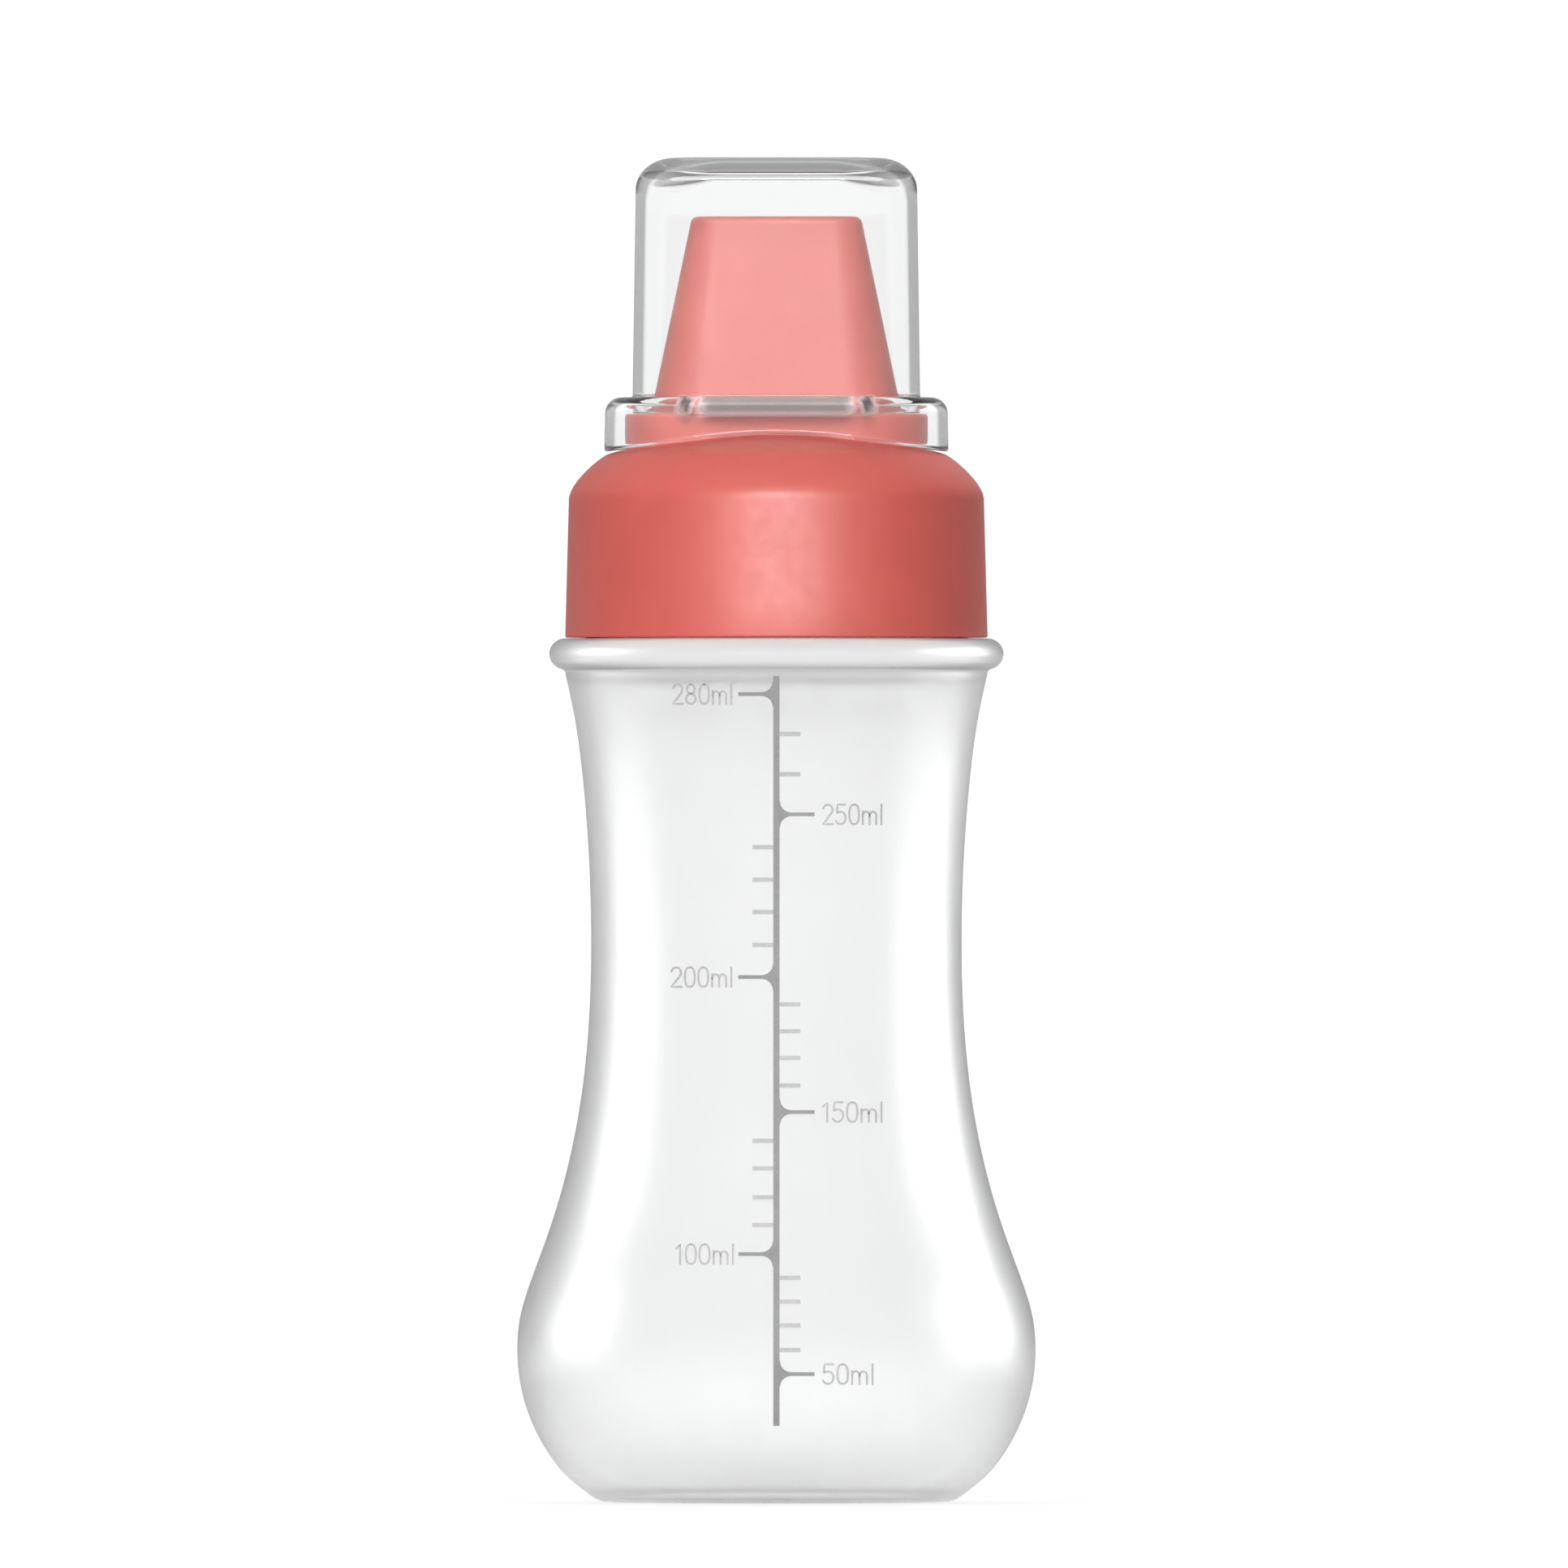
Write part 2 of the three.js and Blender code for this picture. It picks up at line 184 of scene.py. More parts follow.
def mesh_object(name, rows, closed=False, cap_first=False, cap_last=False, angle=38):
    """Skin of rows of points (millimetres). A row of one point is a pole."""
    bm = bmesh.new()
    rings = [[bm.verts.new(tuple(float(c) * MM for c in p)) for p in row] for row in rows]
    pairs = list(zip(rings, rings[1:]))
    if closed:
        pairs.append((rings[-1], rings[0]))
    for lo, hi in pairs:
        n = max(len(lo), len(hi))
        for j in range(n):
            k = (j + 1) % n
            corners = [lo[j % len(lo)], lo[k % len(lo)], hi[k % len(hi)], hi[j % len(hi)]]
            unique = list(dict.fromkeys(corners))
            if len(unique) > 2:
                bm.faces.new(unique)
    if cap_first:
        bm.faces.new(list(reversed(rings[0])))
    if cap_last:
        bm.faces.new(rings[-1])
    bmesh.ops.remove_doubles(bm, verts=bm.verts, dist=2e-7)
    bmesh.ops.recalc_face_normals(bm, faces=bm.faces)
    mesh = bpy.data.meshes.new(name)
    bm.to_mesh(mesh)
    bm.free()
    mesh.shade_smooth()
    mesh.set_sharp_from_angle(angle=math.radians(angle))
    obj = bpy.data.objects.new(name, mesh)
    bpy.context.scene.collection.objects.link(obj)
    return obj


def lathe_rows(profile):
    return [np.array([[0.0, 0.0, z]]) if r < 1e-6 else circle(r, z) for r, z in profile]


def apply_modifiers(obj):
    dg = bpy.context.evaluated_depsgraph_get()
    mesh = bpy.data.meshes.new_from_object(obj.evaluated_get(dg))
    obj.modifiers.clear()
    old = obj.data
    obj.data = mesh
    mesh.name = obj.name
    bpy.data.meshes.remove(old)


# ---------------------------------------------------------------- node helpers


class Nodes:
    """Short hand for building a node tree."""

    def __init__(self, tree):
        self.tree = tree
        tree.nodes.clear()

    def add(self, kind, **inputs):
        node = self.tree.nodes.new("ShaderNode" + kind)
        for key, value in inputs.items():
            self.set(node, key, value)
        return node

    def set(self, node, key, value):
        if hasattr(node, key) and key not in node.inputs:
            setattr(node, key, value)
            return
        socket = node.inputs[key]
        if isinstance(value, bpy.types.NodeSocket):
            self.tree.links.new(value, socket)
        else:
            socket.default_value = value

    def noise(self, where, scale, detail=3.0, rough=0.55):
        node = self.add("TexNoise")
        self.set(node, "Vector", where)
        self.set(node, "Scale", scale)
        self.set(node, "Detail", detail)
        self.set(node, "Roughness", rough)
        return node.outputs["Fac"]

    def span(self, value, lo, hi, low=0.0, high=1.0):
        node = self.add("MapRange")
        self.set(node, "Value", value)
        self.set(node, "From Min", low)
        self.set(node, "From Max", high)
        self.set(node, "To Min", lo)
        self.set(node, "To Max", hi)
        return node.outputs["Result"]

    def mix(self, fac, a, b):
        node = self.add("Mix", data_type="RGBA")
        self.set(node, "Factor", fac)
        for socket, value in ((node.inputs[6], a), (node.inputs[7], b)):
            if isinstance(value, bpy.types.NodeSocket):
                self.tree.links.new(value, socket)
            else:
                socket.default_value = value
        return node.outputs[2]

    def math(self, op, a, b=0.0):
        node = self.add("Math", operation=op)
        for socket, value in zip(node.inputs, (a, b)):
            if isinstance(value, bpy.types.NodeSocket):
                self.tree.links.new(value, socket)
            else:
                socket.default_value = value
        return node.outputs[0]

    def bump(self, height, distance, strength=1.0, normal=None):
        node = self.add("Bump")
        self.set(node, "Height", height)
        self.set(node, "Distance", distance)
        self.set(node, "Strength", strength)
        if normal is not None:
            self.set(node, "Normal", normal)
        return node.outputs["Normal"]


def material(name):
    mat = bpy.data.materials.new(name)
    mat.use_nodes = True
    nodes = Nodes(mat.node_tree)
    where = nodes.add("TexCoord").outputs["Object"]
    bsdf = nodes.add("BsdfPrincipled")
    out = nodes.add("OutputMaterial")
    nodes.set(out, "Surface", bsdf.outputs["BSDF"])
    return mat, nodes, where, bsdf, out


def rgb(r, g, b):
    """Display colour 0-255 to a linear RGBA."""
    f = lambda c: c / 12.92 if c <= 0.04045 else ((c + 0.055) / 1.055) ** 2.4
    return (f(r / 255), f(g / 255), f(b / 255), 1.0)


# ---------------------------------------------------------------- materials


def coral_plastic(name, light, dark, rough, gloss):
    """Satin injection-moulded plastic: faint colour drift, fine eroded grain."""
    mat, n, where, bsdf, _ = material(name)
    drift = n.noise(where, 90.0, 3.0)
    grain = n.noise(where, 5200.0, 2.0, 0.6)
    cloud = n.noise(where, 420.0, 4.0)
    n.set(bsdf, "Base Color", n.mix(n.span(drift, 0.0, 1.0, 0.3, 0.7), dark, light))
    n.set(bsdf, "Roughness", n.span(n.math("ADD", n.math("MULTIPLY", cloud, 0.7), n.math("MULTIPLY", grain, 0.3)),
                                    rough - 0.06, rough + 0.06, 0.3, 0.7))
    n.set(bsdf, "Normal", n.bump(grain, 0.000012, 0.55))
    bsdf.inputs["IOR"].default_value = 1.49
    bsdf.inputs["Specular IOR Level"].default_value = gloss
    return mat


def frosted_plastic(name):
    """Soft frosted bottle plastic, clear enough to see the far wall as a haze."""
    mat, n, where, bsdf, out = material(name)
    grain = n.noise(where, 3800.0, 2.0, 0.6)
    wave = n.noise(where, 70.0, 2.0, 0.4)
    cloud = n.noise(where, 260.0, 4.0)
    body = n.mix(n.span(cloud, 0.0, 1.0, 0.3, 0.7), (0.965, 0.97, 0.97, 1), (0.98, 0.98, 0.98, 1))
    facing = n.add("LayerWeight").outputs["Facing"]
    height = n.add("SeparateXYZ")
    n.set(height, "Vector", where)
    across, along = height.outputs["X"], height.outputs["Y"]
    reach = n.math("ADD", n.math("MULTIPLY", across, across), n.math("MULTIPLY", along, along))
    base_shade = n.math("MAXIMUM", n.span(reach, 1.0, 0.0, 0.000215, 0.000290), n.span(height.outputs["Z"], 1.0, 0.0, 0.0007, 0.0022))
    body = n.mix(base_shade, body, (0.52, 0.52, 0.52, 1))    # painted shade: grey in the push-up and the foot ring
    # painted shade: the base colour greys toward the outline at grazing angles
    n.set(bsdf, "Base Color", n.mix(n.span(facing, 0.0, 1.0, 0.55, 0.97), body, (0.22, 0.22, 0.22, 1)))
    n.set(bsdf, "Roughness", n.span(cloud, 0.30, 0.38, 0.3, 0.7))
    bsdf.inputs["Coat Weight"].default_value = 1.0
    bsdf.inputs["Coat Roughness"].default_value = 0.33
    bsdf.inputs["Coat IOR"].default_value = 1.5
    soft = n.bump(wave, 0.00018, 0.5)
    n.set(bsdf, "Normal", n.bump(grain, 0.000010, 0.5, soft))
    bsdf.inputs["IOR"].default_value = 1.5
    n.set(bsdf, "Transmission Weight", n.span(height.outputs["Z"], 1.0, 0.55, 0.1130, 0.1152))
    absorb = n.add("VolumeAbsorption")
    absorb.inputs["Color"].default_value = (0.60, 0.61, 0.62, 1)
    absorb.inputs["Density"].default_value = 40.0
    n.set(out, "Volume", absorb.outputs["Volume"])
    return mat


def clear_plastic(name, rim):
    """Polished clear plastic with faint flow waviness and handling haze; rim is the grey of the painted shade that
    tints the outside at grazing angles.
    """
    mat, n, where, bsdf, out = material(name)
    wave = n.noise(where, 60.0, 2.0, 0.4)
    haze = n.noise(where, 700.0, 5.0, 0.65)
    body = n.mix(n.span(haze, 0.0, 1.0, 0.35, 0.7), (0.985, 0.99, 0.99, 1), (1, 1, 1, 1))
    outside = n.add("Attribute", attribute_name="outside").outputs["Fac"]
    facing = n.add("LayerWeight").outputs["Facing"]
    height = n.add("SeparateXYZ")
    n.set(height, "Vector", where)
    x, z = n.math("ABSOLUTE", height.outputs["X"]), height.outputs["Z"]
    brow = n.span(z, 1.0, 0.0, 0.18528, 0.18537)        # off the flat roof
    foot = n.span(z, 1.0, 0.0, 0.1524, 0.1530)
    ends = n.math("MULTIPLY", n.span(x, 0.0, 1.0, 0.0088, 0.0104), brow)
    edge = n.span(n.math("SUBTRACT", facing, n.span(z, 0.45, 0.36, 0.1795, 0.1830)), 0.0, 1.0, 0.0, 0.07)
    side = n.math("MULTIPLY", n.math("MULTIPLY", n.math("SUBTRACT", 1.0, foot), ends), edge)
    side = n.math("MULTIPLY", n.math("MAXIMUM", side, n.math("MULTIPLY", foot, n.span(facing, 0.0, 1.0, 0.53, 0.60))), outside)
    over = n.math("MULTIPLY", n.math("MULTIPLY", n.span(z, 0.0, 1.0, 0.18335, 0.18360), brow), n.span(x, 1.0, 0.55, 0.0125, 0.0180))
    over = n.math("MULTIPLY", over, outside)            # painted shade: grey band on the rounded edge round the roof
    # painted shade: grey band along the inner rounded edge under the roof
    under = n.math("MULTIPLY", n.span(z, 0.0, 1.0, 0.1823, 0.1826), n.span(z, 1.0, 0.0, 0.18322, 0.18328))
    under = n.math("MULTIPLY", under, n.math("SUBTRACT", 1.0, outside))
    # painted shade: grey stroke along the outline of the hood's ends and of the flange, at grazing angles
    body = n.mix(side, body, n.span(z, rim, rim + 0.12, 0.1795, 0.1830))
    body = n.mix(over, body, (0.28, 0.28, 0.28, 1))
    body = n.mix(under, body, (0.5, 0.5, 0.5, 1))
    satin = n.add("Attribute", attribute_name="satin").outputs["Fac"]
    tone = n.add("Attribute", attribute_name="tone").outputs["Fac"]
    grey = n.math("MULTIPLY", tone, n.span(haze, 0.96, 1.04, 0.35, 0.7))
    # the satin strip turns grey: a frosted finish in part, painted shade in part
    n.set(bsdf, "Base Color", n.mix(satin, body, grey))
    n.set(bsdf, "Roughness", n.math("MAXIMUM", n.span(haze, 0.0, 0.045, 0.35, 0.75), n.math("MULTIPLY", satin, 0.4)))
    n.set(bsdf, "Normal", n.bump(wave, 0.00012, 0.35))
    bsdf.inputs["IOR"].default_value = 1.5
    n.set(bsdf, "Transmission Weight", n.span(n.math("MAXIMUM", satin, n.math("MULTIPLY", over, 0.9)), 1.0, 0.38))
    absorb = n.add("VolumeAbsorption")
    absorb.inputs["Color"].default_value = (0.62, 0.63, 0.63, 1)
    absorb.inputs["Density"].default_value = 70.0
    n.set(out, "Volume", absorb.outputs["Volume"])
    return mat


def silicone(name):
    mat, n, where, bsdf, _ = material(name)
    cloud = n.noise(where, 300.0, 4.0)
    grain = n.noise(where, 4500.0, 2.0)
    n.set(bsdf, "Base Color", n.mix(n.span(cloud, 0.0, 1.0, 0.3, 0.7), rgb(226, 224, 219), rgb(240, 239, 236)))
    n.set(bsdf, "Roughness", n.span(cloud, 0.5, 0.66, 0.3, 0.7))
    n.set(bsdf, "Normal", n.bump(grain, 0.00002, 0.5))
    bsdf.inputs["Subsurface Weight"].default_value = 0.25
    bsdf.inputs["Subsurface Scale"].default_value = 0.001
    return mat


def ink(name, tone):
    """Screen-printed grey ink, a little uneven."""
    mat, n, where, bsdf, _ = material(name)
    speck = n.noise(where, 2600.0, 3.0, 0.6)
    cloud = n.noise(where, 180.0, 3.0)
    tone_a = tuple(c * 0.9 for c in tone[:3]) + (1.0,)
    tone_b = tuple(min(1.0, c * 1.12) for c in tone[:3]) + (1.0,)
    n.set(bsdf, "Base Color", n.mix(n.span(n.math("ADD", n.math("MULTIPLY", speck, 0.6), n.math("MULTIPLY", cloud, 0.4)),
                                           0.0, 1.0, 0.35, 0.65), tone_a, tone_b))
    n.set(bsdf, "Roughness", n.span(speck, 0.5, 0.65, 0.3, 0.7))
    n.set(bsdf, "Normal", n.bump(speck, 0.00001, 0.5))
    return mat


def seen_directly(n):
    """1 for a ray that the eye sends out, straight or through clear plastic, 0 for light thrown on a surface."""
    path = n.add("LightPath")
    clear = n.math("MULTIPLY", path.outputs["Is Transmission Ray"], n.math("LESS_THAN", path.outputs["Diffuse Depth"], 0.5))
    return n.math("MAXIMUM", path.outputs["Is Camera Ray"], clear)


def floor_paper(name):
    """White paper sweep with a painted glow, seen by the eye and in the object's reflections; it throws no diffuse
    light on the object.
    """
    mat, n, where, bsdf, _ = material(name)
    cloud = n.noise(where, 6.0, 3.0)
    n.set(bsdf, "Base Color", n.mix(n.span(cloud, 0.0, 1.0, 0.3, 0.7), (0.30, 0.30, 0.30, 1), (0.32, 0.32, 0.32, 1)))
    n.set(bsdf, "Roughness", n.span(cloud, 0.85, 0.95, 0.3, 0.7))
    bsdf.inputs["Specular IOR Level"].default_value = 0.0
    bsdf.inputs["Emission Color"].default_value = (1, 1, 1, 1)
    path = n.add("LightPath")
    mirrored = n.math("MULTIPLY", path.outputs["Is Glossy Ray"], n.math("LESS_THAN", path.outputs["Diffuse Depth"], 0.5))
    seen = n.math("SUBTRACT", n.math("MULTIPLY", seen_directly(n), 1.12), n.math("MULTIPLY", path.outputs["Is Camera Ray"], 0.26))
    within = n.span(path.outputs["Transmission Depth"], 0.55, 1.12)     # painted glow, brighter from inside a clear wall
    spot = n.add("SeparateXYZ")
    n.set(spot, "Vector", where)
    near = n.math("MULTIPLY", n.span(n.math("ABSOLUTE", spot.outputs["X"]), 1.0, 0.0, 0.08, 0.30), n.span(spot.outputs["Y"], 1.0, 0.0, -0.02, 0.05))
    near = n.math("MULTIPLY", near, n.span(spot.outputs["Y"], 0.0, 0.6, -0.16, -0.06))     # painted glow: a soft pool beside the foot, seen in reflections
    within = n.math("ADD", within, near)
    n.set(bsdf, "Emission Strength", n.math("MAXIMUM", seen, n.math("MULTIPLY", mirrored, within)))
    return mat


CAP_MAT = coral_plastic("coral_satin_cap", rgb(228, 102, 92), rgb(222, 97, 87), 0.47, 0.5)
NOZZLE_MAT = coral_plastic("coral_satin_nozzle", rgb(235, 129, 119), rgb(231, 124, 114), 0.45, 1.0)
BOTTLE_MAT = frosted_plastic("frosted_bottle")
HOOD_MAT = clear_plastic("clear_hood", 0.25)
SEAL_MAT = silicone("silicone_seal")
INK_MAT = ink("scale_ink", rgb(142, 142, 142))
FINE_INK_MAT = ink("number_ink", rgb(178, 178, 178))


def finish_piece(obj, mat, body, node=None):
    obj.data.materials.clear()
    obj.data.materials.append(mat)
    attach(obj, body)
    if node:
        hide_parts(node)


# ---------------------------------------------------------------- bottle


def inside(z):
    slope = (body_r(z + 0.05) - body_r(z - 0.05)) / 0.1
    k = math.hypot(1, slope)
    return float(body_r(z) - WALL / k), float(z + WALL * slope / k)


push = spline([(0, 1.0), (8, 0.84), (14, 0.49), (18.5, 0.16), (FOOT_IN, 0.0)])
outer = [(r, PUSH_UP * float(push(r))) for r in (0, 2.5, 5, 7.5, 10, 12.5, 15, 17, 18.5, 19.6)]
outer += [(FOOT_IN - 0.35, 0.06), (FOOT_IN + 0.1, 0.0), (22.2, 0.0), (FOOT_R - 0.3, 0.0), (FOOT_R + 0.1, 0.03),
          (24.35, 0.13), (24.75, 0.27), (25.08, 0.44)]
zs = np.concatenate([np.arange(0.7, 12, 0.75), np.arange(12, 34, 1.0), np.arange(34, 100, 2.0), np.arange(100, 113.7, 1.2)])
outer += [(float(body_r(z)), float(z)) for z in zs]
root = [np.array(q) for q in ((float(body_r(114.1)), 114.1), (29.08, 114.68), (29.76, 114.9))]
outer += [tuple((1 - t) ** 2 * root[0] + 2 * t * (1 - t) * root[1] + t * t * root[2]) for t in np.linspace(0, 1, 8)[:-1]]
bead = arc((29.1, BEAD_Z), 1.0, -72, 90, 20)
outer += [(29.1 + (x - 29.1) * (BEAD_R - 29.1), BEAD_Z + (z - BEAD_Z) * BEAD_H) for x, z in bead]
outer += [(28.2, BEAD_Z + BEAD_H), (NECK_R + 0.5, BEAD_Z + BEAD_H), (NECK_R + 0.15, BEAD_Z + BEAD_H + 0.12)]
rows = lathe_rows(outer)
for z in np.arange(BEAD_Z + BEAD_H + 0.4, LIP_Z - 0.5, 0.3):
    rows.append(circle(NECK_R + ridge(ANGLES, z, 0.0, THREAD_TURN, THREAD_Z, CREST_OUT - NECK_R), z))
lip = [(NECK_R, LIP_Z - 0.4)] + [(NECK_R - 0.4 + 0.4 * math.cos(t), LIP_Z - 0.4 + 0.4 * math.sin(t)) for t in (0.5, 1.05, 1.57)]
lip += [(NECK_IN + 0.4 - 0.4 * math.sin(t), LIP_Z - 0.4 + 0.4 * math.cos(t)) for t in (0, 0.52, 1.05, 1.57)]
neck_in = spline([(111, inside(111)[0]), (113, 28.0), (115, 28.1), (116, 27.75), (117, 27.0), (118, 25.9), (119.1, 24.95), (120.3, 24.5),
                  (121.6, NECK_IN), (124, NECK_IN)])
inner = [(NECK_IN, z) for z in (136, 133, 130, 127, 124.5)]
inner += [(float(neck_in(z)), z) for z in np.arange(122.5, 111.2, -0.5)]
inner += [inside(z) for z in np.concatenate([np.arange(110, 34, -2.0), np.arange(34, 1.5, -1.0)])]
inner += [(25.3, 2.02), (24.3, 1.64), (23.2, 1.4), (22, FLOOR), (20.6, FLOOR + 0.07)]
inner += [(r, FLOOR + PUSH_UP * float(push(r))) for r in (18.5, 17, 15, 12.5, 10, 7.5, 5, 2.5, 0)]
rows += lathe_rows(lip + inner)
bottle = mesh_object("bottle_shell", rows, angle=50)
finish_piece(bottle, BOTTLE_MAT, "bottle", "bottle_body")

# ---------------------------------------------------------------- cap

slope = -2 * DOME_K * DOME_R
p0 = np.array([DOME_R, float(dome_z(DOME_R))])
p1 = p0 + np.array([1, slope])
p2, p3 = np.array([CAP_R1, CAP_TOP + 2.4]), np.array([CAP_R1, CAP_TOP])
shoulder = [tuple((1 - t) ** 3 * p0 + 3 * t * (1 - t) ** 2 * p1 + 3 * t * t * (1 - t) * p2 + t**3 * p3)
            for t in np.linspace(0, 1, 23)[1:]]

hole = obround(COLLAR[0] + FIT, COLLAR[1] + FIT)
hole_r = radius(hole)
rows = [lift(hole, dome_z(hole_r) - DOME_T), lift(hole, dome_z(hole_r) - 0.6)]
for k in (0.0, 0.45, 0.9, 1.3, 1.57):
    ring = obround(COLLAR[0] + FIT + 0.25 * (1 - math.cos(k)), COLLAR[1] + FIT + 0.25 * (1 - math.cos(k)))
    rows.append(lift(ring, dome_z(radius(ring)) - 0.25 + 0.25 * math.sin(k)))
edge = circle(DOME_R, 0)
for ring in between(lift(ring, 0), edge, 16, (False, True)):
    rows.append(lift(ring, dome_z(radius(ring))))
rows += lathe_rows(shoulder)
rows += lathe_rows([(CAP_R1 + (CAP_R0 - CAP_R1) * t, CAP_TOP + (CAP_Z + 0.25 - CAP_TOP) * t) for t in (0.1, 0.25, 0.5, 0.75, 1.0)])
rows += lathe_rows([(CAP_R0 - 0.25 * (1 - math.cos(t)), CAP_Z + 0.25 - 0.25 * math.sin(t)) for t in (0.4, 0.8, 1.2, 1.57)])
rows += lathe_rows([(ROOT_IN + 0.35, CAP_Z), (ROOT_IN + 0.1, CAP_Z + 0.12)])
for z in np.arange(CAP_Z + 0.5, 137.2, 0.3):
    rows.append(circle(ROOT_IN - ridge(ANGLES, z, CAP_TURN_FROM, THREAD_TURN, THREAD_Z - CAP_DROP, ROOT_IN - CREST_IN), z))
rows += lathe_rows([(ROOT_IN, 137.4), (27.15, 139.0), (LAND_OUT, LAND_Z - 0.1), (LAND_OUT - 0.2, LAND_Z), (LAND_IN, LAND_Z), (22.2, 142.8)])
for ring in between(circle(21.9, 0), hole, 8, (True, False)):
    rows.append(lift(ring, dome_z(radius(ring)) - DOME_T))
cap = mesh_object("cap_shell", rows, closed=True, angle=40)
finish_piece(cap, CAP_MAT, "cap", "screw_cap")

# ---------------------------------------------------------------- gasket

e = 0.25
profile = [(SEAL_IN + e, SEAL_Z0), (23.4, SEAL_Z0), (24.3, SEAL_Z0 + 0.04), (25.2, SEAL_Z0), (SEAL_OUT - e, SEAL_Z0)]
profile += arc((SEAL_OUT - e, SEAL_Z0 + e), e, -60, 0, 3) + arc((SEAL_OUT - e, SEAL_Z1 - e), e, 0, 90, 4)
profile += [(25.2, SEAL_Z1), (24.3, SEAL_Z1 - 0.04), (23.4, SEAL_Z1)]
profile += arc((SEAL_IN + e, SEAL_Z1 - e), e, 90, 180, 4) + arc((SEAL_IN + e, SEAL_Z0 + e), e, 180, 250, 4)
gasket = mesh_object("seal_ring", lathe_rows(profile), closed=True, angle=50)
finish_piece(gasket, SEAL_MAT, "gasket", "neck_gasket")

# ---------------------------------------------------------------- nozzle


def wedge(z, inset=0.0):
    return obround(TIP[0] + (TIP_Z - z) * TAPER[0] - inset, TIP[1] + (TIP_Z - z) * TAPER[1] - inset, z)


def inset(ring_size, i, z):
    return obround(ring_size[0] - i, ring_size[1] - i, z)


TIP_ROUND = 1.1
tip_size = (TIP[0] + TIP_ROUND * TAPER[0], TIP[1] + TIP_ROUND * TAPER[1])
mouth = (COLLAR[0] - NOZZLE_T, COLLAR[1] - NOZZLE_T)
rows = [wedge(TIP_Z - 1.9, NOZZLE_T + 0.5), wedge(TIP_Z - 2.1, NOZZLE_T + 0.15), wedge(TIP_Z - 2.6, NOZZLE_T - 0.1)]
rows += [wedge(z, NOZZLE_T - 0.1 * (z - LEDGE_Z) / 24) for z in (170, 164, 158, 153, LEDGE_Z + 0.6)]
rows += [obround(*mouth, LEDGE_Z - 2.2), obround(*mouth, LEDGE_Z - 2.6), obround(*mouth, 143), obround(*mouth, FLANGE_Z0 + 0.3),
         obround(mouth[0] + 0.3, mouth[1] + 0.3, FLANGE_Z0)]
flat = circle(FLANGE_R - 0.25, FLANGE_Z0)
rows += between(obround(mouth[0] + 0.3, mouth[1] + 0.3, FLANGE_Z0), flat, 6, (False, True))
rows += lathe_rows([(FLANGE_R - 0.07, FLANGE_Z0 + 0.07), (FLANGE_R, FLANGE_Z0 + 0.25), (FLANGE_R, FLANGE_Z1 - 0.25),
                    (FLANGE_R - 0.07, FLANGE_Z1 - 0.07), (FLANGE_R - 0.25, FLANGE_Z1)])
rows += between(circle(FLANGE_R - 0.25, FLANGE_Z1), obround(*COLLAR, FLANGE_Z1), 6, (False, True))
rows += [obround(*COLLAR, z) for z in (142, 145, 147.5, LEDGE_Z - 0.5)]
rows += [inset(COLLAR, 0.5 * (1 - math.cos(t)), LEDGE_Z - 0.5 + 0.5 * math.sin(t)) for t in np.linspace(0, np.pi / 2, 6)[1:]]
root = (TIP[0] + (TIP_Z - LEDGE_Z) * TAPER[0], TIP[1] + (TIP_Z - LEDGE_Z) * TAPER[1])
rows += between(inset(COLLAR, 0.5, LEDGE_Z), inset(root, -0.5, LEDGE_Z), 4, (False, True))
rows += [inset(root, -0.5 * (1 - math.sin(t)) + 0.14 * (1 - math.cos(t)) * 0.5, LEDGE_Z + 0.5 * (1 - math.cos(t)))
         for t in np.linspace(0, np.pi / 2, 6)[1:-1]]
rows += [wedge(z) for z in (LEDGE_Z + 0.5, 153, 156, 160, 164, 168, 172, 175, TIP_Z - TIP_ROUND)]
rows += [inset(tip_size, TIP_ROUND * (1 - math.cos(t)), TIP_Z - TIP_ROUND + TIP_ROUND * math.sin(t))
         for t in np.linspace(0, np.pi / 2, 9)[1:]]
nozzle = mesh_object("nozzle_shell", rows, cap_first=True, cap_last=True, angle=42)

cutters = []
for i in range(OUTLETS):
    x = (i - (OUTLETS - 1) / 2) * OUTLET_PITCH
    t = np.linspace(0, 2 * np.pi, 48, endpoint=False)
    steps = [(OUTLET_R, 173.0), (OUTLET_R, TIP_Z - 0.3)]
    steps += [(OUTLET_R + 0.3 * (1 - math.cos(k)), TIP_Z - 0.3 + 0.3 * math.sin(k)) for k in (0.4, 0.8, 1.2)]
    steps += [(OUTLET_R + 0.3, TIP_Z + 0.02), (OUTLET_R + 0.3, TIP_Z + 1)]
    rings = [np.stack([x + r * np.cos(t), r * np.sin(t), np.full(48, z)], 1) for r, z in steps]
    cutter = mesh_object(f"outlet_cutter_{i}", rings, cap_first=True, cap_last=True)
    mod = nozzle.modifiers.new(f"outlet_{i}", "BOOLEAN")
    mod.operation, mod.solver, mod.object = "DIFFERENCE", "EXACT", cutter
    cutters.append(cutter)
apply_modifiers(nozzle)
for cutter in cutters:
    data = cutter.data
    bpy.data.objects.remove(cutter)
    bpy.data.meshes.remove(data)
nozzle.data.shade_smooth()
nozzle.data.set_sharp_from_angle(angle=math.radians(42))
finish_piece(nozzle, NOZZLE_MAT, "cap", "nozzle")

# ---------------------------------------------------------------- hood


def wall(z, i=0.0):
    t = (z - RIM_Z) / (HOOD_TOP - RIM_Z)
    return obround(HOOD_FOOT[0] + (HOOD_TIP[0] - HOOD_FOOT[0]) * t - i, HOOD_FOOT[1] + (HOOD_TIP[1] - HOOD_FOOT[1]) * t - i, z)


def wall_size(z, i=0.0):
    t = (z - RIM_Z) / (HOOD_TOP - RIM_Z)
    return tuple(HOOD_FOOT[k] + (HOOD_TIP[k] - HOOD_FOOT[k]) * t - i for k in (0, 1))


